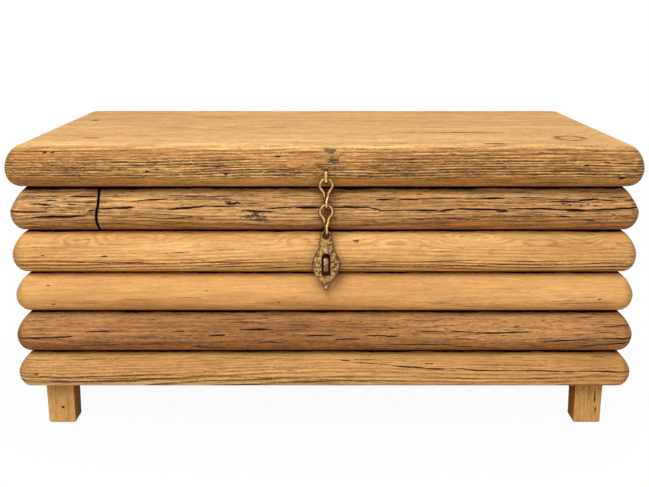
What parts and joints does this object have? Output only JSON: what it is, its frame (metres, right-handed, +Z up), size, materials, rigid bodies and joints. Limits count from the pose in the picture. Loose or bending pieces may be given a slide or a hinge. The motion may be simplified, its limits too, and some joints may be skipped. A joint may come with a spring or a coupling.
{
  "type": "trunk",
  "caption": "Low rustic storage trunk of stacked rounded planks on short square feet, with a thick hinged lid and a slotted hasp plate on a twisted chain.",
  "frame": {"origin": "on the floor, under the middle of the whole trunk with its hasp", "axes": "+X to the right when facing the front, +Y to the back, +Z up; the front with the hasp faces -Y"},
  "size_m": [1.012, 0.659, 0.4695],
  "materials": {
    "lid_wood": "waxed weathered reclaimed pine, worn pale edges",
    "course_1_wood": "waxed weathered reclaimed pine, deep dark cracks",
    "course_2_wood": "waxed weathered reclaimed pine, raised grain",
    "course_3_wood": "waxed reclaimed pine, smooth honey colour",
    "course_4_wood": "waxed weathered reclaimed pine, dark brown",
    "course_5_wood": "waxed weathered reclaimed pine, fine grain lines",
    "post_wood": "waxed pine, worn edges",
    "inner_wood": "plain sawn pine",
    "hasp_metal": "hand forged, hammered, aged brown with rubbed bright edges",
    "hinge_metal": "dull dark iron"
  },
  "bodies": {
    "box": {"front_board_1_left": "course_1_wood", "front_board_1_right": "course_1_wood", "front_board_2": "course_2_wood", "front_board_3": "course_3_wood", "front_board_4": "course_4_wood", "front_board_5": "course_5_wood", "back_board_1": "course_1_wood", "back_board_2": "course_2_wood", "back_board_3": "course_3_wood", "back_board_4": "course_4_wood", "back_board_5": "course_5_wood", "left_board_1": "course_1_wood", "left_board_2": "course_2_wood", "left_board_3": "course_3_wood", "left_board_4": "course_4_wood", "left_board_5": "course_5_wood", "right_board_1": "course_1_wood", "right_board_2": "course_2_wood", "right_board_3": "course_3_wood", "right_board_4": "course_4_wood", "right_board_5": "course_5_wood", "post_front_left": "post_wood", "post_front_right": "post_wood", "post_back_left": "post_wood", "post_back_right": "post_wood", "floor_bearer_left": "inner_wood", "floor_bearer_middle": "inner_wood", "floor_bearer_right": "inner_wood", "floor_board_front": "inner_wood", "floor_board_1": "inner_wood", "floor_board_2": "inner_wood", "floor_board_3": "inner_wood", "floor_board_4": "inner_wood", "floor_board_back": "inner_wood", "hinge_left_box_leaf": "hinge_metal", "hinge_left_pin": "hinge_metal", "hinge_right_box_leaf": "hinge_metal", "hinge_right_pin": "hinge_metal", "box_staple": "hasp_metal"},
    "lid": {"lid_plank_front": "lid_wood", "lid_plank_second": "lid_wood", "lid_plank_third": "lid_wood", "lid_plank_back": "lid_wood", "lid_batten_left": "inner_wood", "lid_batten_right": "inner_wood", "hinge_left_lid_leaf": "hinge_metal", "hinge_right_lid_leaf": "hinge_metal", "lid_staple": "hasp_metal"},
    "link_upper": {"hasp_link_upper": "hasp_metal"},
    "link_lower": {"hasp_link_lower": "hasp_metal"},
    "plate": {"hasp_plate": "hasp_metal"}
  },
  "joints": [
    {"name": "lid_hinge", "type": "hinge", "parent": "box", "child": "lid", "pos_m": [0, 0.3155, 0.40365], "axis": [-1, 0, 0], "range_deg": [0, 118]},
    {"name": "link_upper_swing", "type": "hinge", "parent": "lid", "child": "link_upper", "pos_m": [0.0024, -0.321, 0.41945], "axis": [-1, 0, 0], "range_deg": [-3, 80]},
    {"name": "link_lower_swing", "type": "hinge", "parent": "link_upper", "child": "link_lower", "pos_m": [0.0024, -0.321, 0.37815], "axis": [-1, 0, 0], "range_deg": [-1.5, 80]},
    {"name": "plate_swing", "type": "hinge", "parent": "link_lower", "child": "plate", "pos_m": [0.0024, -0.321, 0.33685], "axis": [-1, 0, 0], "range_deg": [-0.5, 85]}
  ]
}
